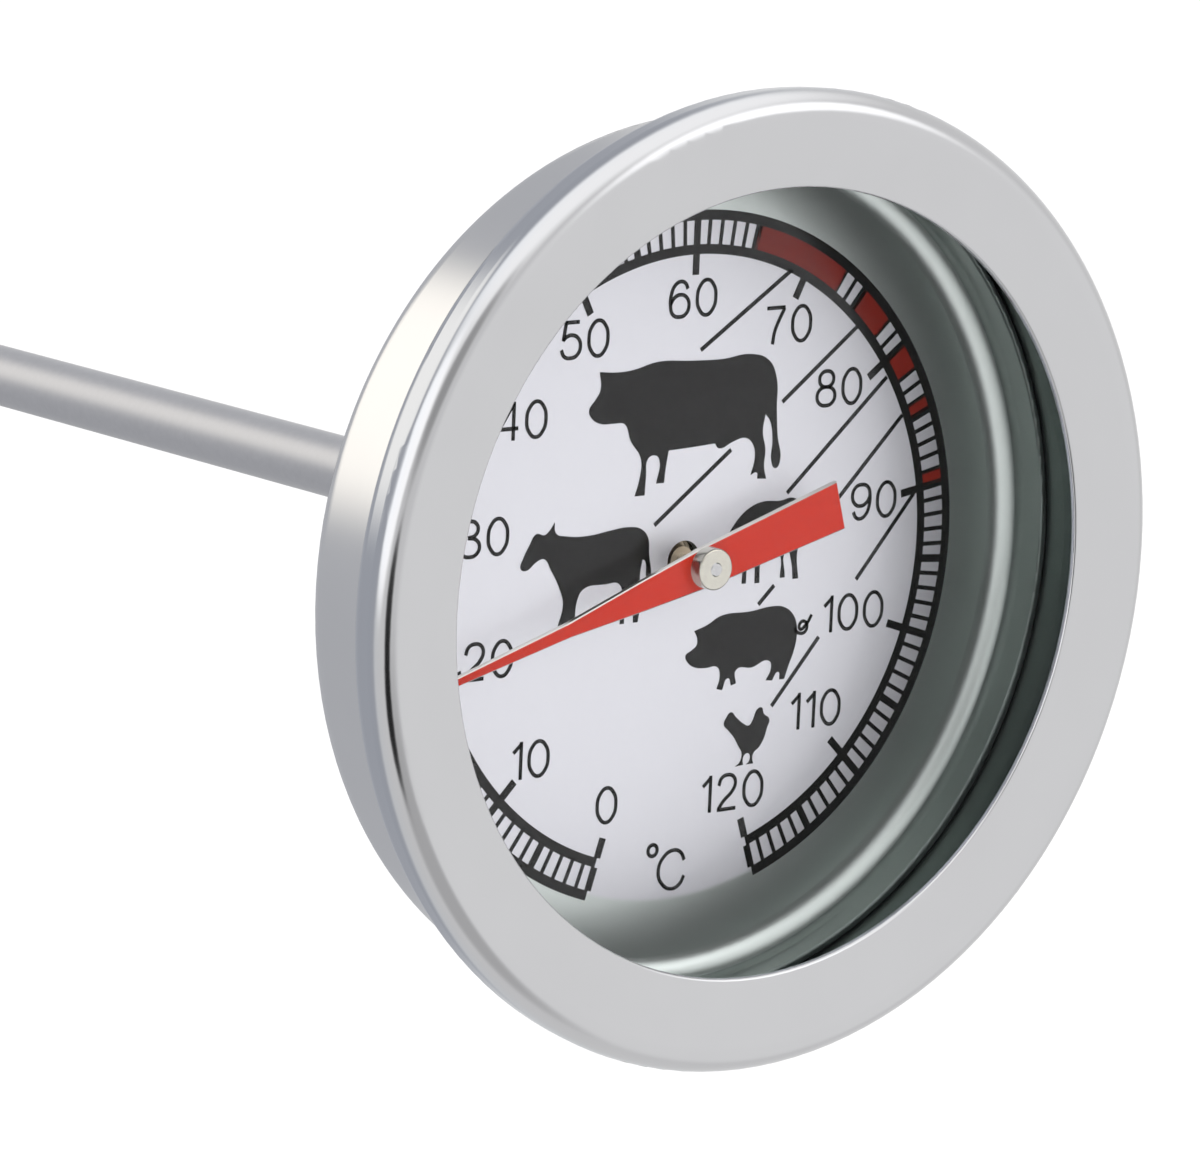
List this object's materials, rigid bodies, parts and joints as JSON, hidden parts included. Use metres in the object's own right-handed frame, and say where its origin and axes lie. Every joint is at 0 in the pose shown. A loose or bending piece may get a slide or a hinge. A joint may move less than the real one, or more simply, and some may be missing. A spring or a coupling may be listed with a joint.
{
  "type": "dial meat thermometer",
  "caption": "Round dial thermometer for roasting meat: a glazed steel head with a red pointer over a printed dial, on a long pointed probe stem.",
  "frame": {"origin": "on the spindle axis, in the plane where the probe stem leaves its socket behind the case", "axes": "+Y along the stem towards its point, the dial faces -Y, +Z towards 12 o'clock (the 60 degree mark), +X to the right of the dial"},
  "size_m": [0.0548, 0.1207, 0.0548],
  "materials": {
    "case_steel": "drawn stainless steel, bright satin",
    "bezel_steel": "spun stainless steel, fine satin face",
    "window_glass": "clear, polished",
    "gasket_rubber": "moulded black rubber, matte",
    "dial_metal": "silver-white lacquered aluminium, satin",
    "dial_print": "screen-printed black ink, satin",
    "dial_print_red": "screen-printed dark red ink, satin",
    "pad_foam": "closed-cell foam tape, matte",
    "pointer_red": "red enamel on punched aluminium, satin",
    "hub_nickel": "turned brass, nickel plated, satin",
    "spindle_steel": "drawn stainless wire, bright",
    "guide_brass": "turned brass, bright",
    "guide_ptfe": "turned PTFE, waxy matte",
    "bimetal": "rolled bimetal strip, satin",
    "stem_steel": "drawn stainless tube, satin"
  },
  "bodies": {
    "case": {"bezel_ring": "bezel_steel", "case_cup": "case_steel", "lens": "window_glass", "front_gasket": "gasket_rubber", "rear_gasket": "gasket_rubber", "dial_plate": "dial_metal", "dial_pad": "pad_foam", "top_guide": "guide_brass", "stem_socket": "case_steel", "stem_tube": "stem_steel", "stem_tip": "stem_steel", "stem_guide_upper": "guide_ptfe", "stem_guide_lower": "guide_ptfe", "bimetal_coil": "bimetal", "anchor_plug": "stem_steel"},
    "pointer_set": {"pointer": "pointer_red", "pointer_hub": "hub_nickel", "spindle": "spindle_steel", "thrust_collar_front": "guide_brass", "thrust_collar_rear": "guide_brass", "coil_collar": "guide_brass"}
  },
  "joints": [
    {"name": "pointer_sweep", "type": "hinge", "parent": "case", "child": "pointer_set", "pos_m": [0, 0, 0], "axis": [0, 1, 0], "range_deg": [-56.2, 267.8], "stiffness_Nm_per_rad": 0.001, "deforming": ["bimetal_coil"]}
  ]
}
